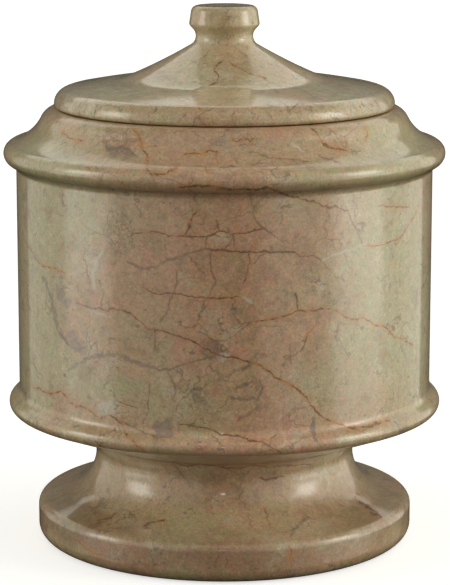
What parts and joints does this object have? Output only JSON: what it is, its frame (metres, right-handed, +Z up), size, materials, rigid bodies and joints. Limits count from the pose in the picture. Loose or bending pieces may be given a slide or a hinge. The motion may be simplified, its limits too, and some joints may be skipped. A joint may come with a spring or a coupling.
{
  "type": "cremation urn",
  "caption": "Turned marble cremation urn: a round hollow vessel with a rolled ring at top and bottom, on a flared foot, closed by a lift-off lid that rises in a cone to a small knob.",
  "frame": {"origin": "centre of the foot's flat underside, on the surface that the urn stands on", "axes": "+Z up along the urn's axis of revolution, -Y towards the viewer of the picture"},
  "size_m": [0.2118, 0.2118, 0.2587],
  "materials": {
    "body_marble": "polished",
    "lid_marble": "polished"
  },
  "bodies": {
    "root": {"urn_body": "body_marble", "lid": "lid_marble"}
  },
  "joints": []
}
